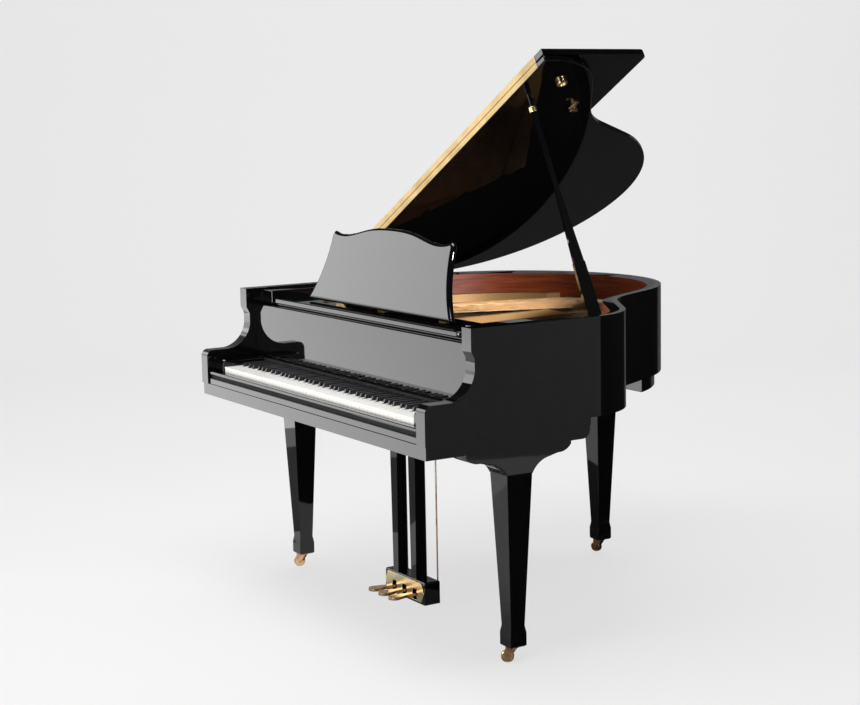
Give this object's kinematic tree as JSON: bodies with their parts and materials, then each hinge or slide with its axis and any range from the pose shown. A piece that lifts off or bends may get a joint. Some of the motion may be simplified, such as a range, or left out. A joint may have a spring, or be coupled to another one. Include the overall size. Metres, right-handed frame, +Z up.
{
  "type": "baby grand piano",
  "caption": "Black lacquered baby grand piano with a propped curved lid, folding music desk, working keyboard and pedals, on tapered legs with brass casters.",
  "frame": {"origin": "on the floor under the middle of the whole piano, lid raised", "axes": "+X to the treble side, +Y from the keyboard to the tail, +Z up"},
  "size_m": [1.4612, 1.422, 1.7465],
  "materials": {
    "black_lacquer": "black polyester lacquer, mirror gloss",
    "mahogany": "mahogany veneer, satin lacquer",
    "case_wood": "oiled hardwood",
    "spruce": "varnished spruce",
    "bridge_maple": "varnished maple",
    "natural_caps": "white key covering, semi-gloss",
    "sharp_caps": "black satin",
    "hammer_felt": "wood with pressed felt",
    "damper_wood": "black lacquer",
    "gold_iron": "gold bronze paint",
    "string_steel": "drawn steel wire",
    "brass": "polished brass"
  },
  "bodies": {
    "case": {"outer_rim": "black_lacquer", "rim_lining": "mahogany", "inner_rim": "case_wood", "under_frame": "case_wood", "tail_block": "black_lacquer", "key_bed": "black_lacquer", "key_slip": "black_lacquer", "key_blocks": "black_lacquer", "soundboard": "spruce", "bridges": "bridge_maple", "plate": "gold_iron", "pin_block": "case_wood", "strings": "string_steel", "tuning_pins": "string_steel", "stretcher": "black_lacquer", "shelf_ends": "black_lacquer", "prop_bracket": "black_lacquer", "lid_hinges_case": "brass", "leg_blocks": "black_lacquer", "leg_bass": "black_lacquer", "leg_treble": "black_lacquer", "leg_tail": "black_lacquer", "lyre_frame": "black_lacquer", "pedal_box": "black_lacquer", "pedal_plate": "brass", "lyre_braces": "brass"},
    "lid": {"lid": "black_lacquer", "flap_hinge_lid_leaf": "brass", "lid_hinges_lid": "brass", "prop_rest": "black_lacquer", "lid_fittings": "brass"},
    "flap": {"lid_flap": "black_lacquer", "flap_hinge_flap_leaf": "brass"},
    "prop": {"lid_prop": "black_lacquer", "prop_collar": "brass"},
    "tray": {"desk_tray": "black_lacquer", "desk_hinges": "brass"},
    "desk": {"music_desk": "black_lacquer"},
    "fallboard": {"fallboard": "black_lacquer"},
    "dampers": {"dampers": "damper_wood"},
    "action": {"key_frame": "case_wood", "hammers": "hammer_felt"},
    "naturals_bass": {"naturals_bass": "natural_caps"},
    "sharps_bass": {"sharps_bass": "sharp_caps"},
    "naturals_middle": {"naturals_middle": "natural_caps"},
    "sharps_middle": {"sharps_middle": "sharp_caps"},
    "naturals_treble": {"naturals_treble": "natural_caps"},
    "sharps_treble": {"sharps_treble": "sharp_caps"},
    "pedal_left": {"pedal_left": "brass"},
    "pedal_rod_left": {"pedal_rod_left": "brass"},
    "pedal_middle": {"pedal_middle": "brass"},
    "pedal_rod_middle": {"pedal_rod_middle": "brass"},
    "pedal_right": {"pedal_right": "brass"},
    "pedal_rod_right": {"pedal_rod_right": "brass"},
    "caster_fork_bass": {"caster_fork_bass": "brass"},
    "caster_wheel_bass": {"caster_wheel_bass": "brass"},
    "caster_fork_treble": {"caster_fork_treble": "brass"},
    "caster_wheel_treble": {"caster_wheel_treble": "brass"},
    "caster_fork_tail": {"caster_fork_tail": "brass"},
    "caster_wheel_tail": {"caster_wheel_tail": "brass"}
  },
  "joints": [
    {"name": "lid_raise", "type": "hinge", "parent": "case", "child": "lid", "pos_m": [-0.71736, -0.011, 0.9933], "axis": [0, -1, 0], "range_deg": [0, 25]},
    {"name": "lid_flap_unfold", "type": "hinge", "parent": "lid", "child": "flap", "pos_m": [-0.11224, -0.17945, 1.35586], "axis": [0.8698, 0, 0.4933], "range_deg": [0, 180]},
    {"name": "desk_tray_slide", "type": "slide", "parent": "case", "child": "tray", "axis": [0, 1, 0], "range_m": [0, 0.1]},
    {"name": "music_desk_fold", "type": "hinge", "parent": "tray", "child": "desk", "pos_m": [0.00964, -0.42286, 0.96363], "axis": [-1, 0, 0], "range_deg": [0, 74]},
    {"name": "prop_fold", "type": "hinge", "parent": "case", "child": "prop", "pos_m": [0.62964, -0.05795, 0.96], "axis": [-0.4166, -0.8735, -0.252], "range_deg": [0, 84]},
    {"name": "fallboard_close", "type": "hinge", "parent": "case", "child": "fallboard", "pos_m": [0.00964, -0.515, 0.772], "axis": [1, 0, 0], "range_deg": [0, 90]},
    {"name": "pedal_left_press", "type": "hinge", "parent": "case", "child": "pedal_left", "pos_m": [-0.04156, -0.345, 0.0655], "axis": [1, 0, 0], "range_deg": [0, 5], "stiffness_Nm_per_rad": 20, "springref_deg": -3.44},
    {"name": "pedal_rod_left_lift", "type": "slide", "parent": "case", "child": "pedal_rod_left", "axis": [0, 0, 1], "range_m": [0, 0.0023]},
    {"name": "pedal_middle_press", "type": "hinge", "parent": "case", "child": "pedal_middle", "pos_m": [0.02044, -0.345, 0.0655], "axis": [1, 0, 0], "range_deg": [0, 5], "stiffness_Nm_per_rad": 20, "springref_deg": -3.44},
    {"name": "pedal_rod_middle_lift", "type": "slide", "parent": "case", "child": "pedal_rod_middle", "axis": [0, 0, 1], "range_m": [0, 0.0023]},
    {"name": "pedal_right_press", "type": "hinge", "parent": "case", "child": "pedal_right", "pos_m": [0.08244, -0.345, 0.0655], "axis": [1, 0, 0], "range_deg": [0, 5], "stiffness_Nm_per_rad": 20, "springref_deg": -3.44},
    {"name": "pedal_rod_right_lift", "type": "slide", "parent": "case", "child": "pedal_rod_right", "axis": [0, 0, 1], "range_m": [0, 0.0023]},
    {"name": "damper_lift", "type": "slide", "parent": "case", "child": "dampers", "axis": [0, 0, 1], "range_m": [0, 0.0061]},
    {"name": "key_frame_shift", "type": "slide", "parent": "case", "child": "action", "axis": [1, 0, 0], "range_m": [0, 0.0026]},
    {"name": "naturals_bass_press", "type": "hinge", "parent": "action", "child": "naturals_bass", "pos_m": [0.00964, -0.455, 0.708], "axis": [1, 0, 0], "range_deg": [0, 2.5], "stiffness_Nm_per_rad": 60, "springref_deg": -4.58},
    {"name": "sharps_bass_press", "type": "hinge", "parent": "action", "child": "sharps_bass", "pos_m": [0.00964, -0.455, 0.708], "axis": [1, 0, 0], "range_deg": [0, 2.5], "stiffness_Nm_per_rad": 60, "springref_deg": -4.58},
    {"name": "naturals_middle_press", "type": "hinge", "parent": "action", "child": "naturals_middle", "pos_m": [0.00964, -0.455, 0.708], "axis": [1, 0, 0], "range_deg": [0, 2.5], "stiffness_Nm_per_rad": 60, "springref_deg": -4.58},
    {"name": "sharps_middle_press", "type": "hinge", "parent": "action", "child": "sharps_middle", "pos_m": [0.00964, -0.455, 0.708], "axis": [1, 0, 0], "range_deg": [0, 2.5], "stiffness_Nm_per_rad": 60, "springref_deg": -4.58},
    {"name": "naturals_treble_press", "type": "hinge", "parent": "action", "child": "naturals_treble", "pos_m": [0.00964, -0.455, 0.708], "axis": [1, 0, 0], "range_deg": [0, 2.5], "stiffness_Nm_per_rad": 60, "springref_deg": -4.58},
    {"name": "sharps_treble_press", "type": "hinge", "parent": "action", "child": "sharps_treble", "pos_m": [0.00964, -0.455, 0.708], "axis": [1, 0, 0], "range_deg": [0, 2.5], "stiffness_Nm_per_rad": 60, "springref_deg": -4.58},
    {"name": "caster_bass_swivel", "type": "hinge", "parent": "case", "child": "caster_fork_bass", "pos_m": [-0.63836, -0.383, 0.049], "axis": [0, 0, 1], "continuous": true},
    {"name": "caster_bass_roll", "type": "hinge", "parent": "caster_fork_bass", "child": "caster_wheel_bass", "pos_m": [-0.65229, -0.39275, 0.019], "axis": [0.5736, -0.8192, 0], "continuous": true},
    {"name": "caster_treble_swivel", "type": "hinge", "parent": "case", "child": "caster_fork_treble", "pos_m": [0.65764, -0.383, 0.049], "axis": [0, 0, 1], "continuous": true},
    {"name": "caster_treble_roll", "type": "hinge", "parent": "caster_fork_treble", "child": "caster_wheel_treble", "pos_m": [0.64789, -0.39693, 0.019], "axis": [0.8192, -0.5736, 0], "continuous": true},
    {"name": "caster_tail_swivel", "type": "hinge", "parent": "case", "child": "caster_fork_tail", "pos_m": [-0.18345, 0.573, 0.049], "axis": [0, 0, 1], "continuous": true},
    {"name": "caster_tail_roll", "type": "hinge", "parent": "caster_fork_tail", "child": "caster_wheel_tail", "pos_m": [-0.19942, 0.56719, 0.019], "axis": [0.342, -0.9397, 0], "continuous": true}
  ],
  "couplings": [
    {"joint": "music_desk_fold", "follows": "lid_flap_unfold", "ratio": 0.41101},
    {"joint": "pedal_rod_left_lift", "follows": "pedal_left_press", "m_per_rad": 0.025783},
    {"joint": "pedal_rod_middle_lift", "follows": "pedal_middle_press", "m_per_rad": 0.025783},
    {"joint": "pedal_rod_right_lift", "follows": "pedal_right_press", "m_per_rad": 0.025783},
    {"joint": "damper_lift", "follows": "pedal_right_press", "m_per_rad": 0.068755},
    {"joint": "key_frame_shift", "follows": "pedal_left_press", "m_per_rad": 0.028648}
  ]
}
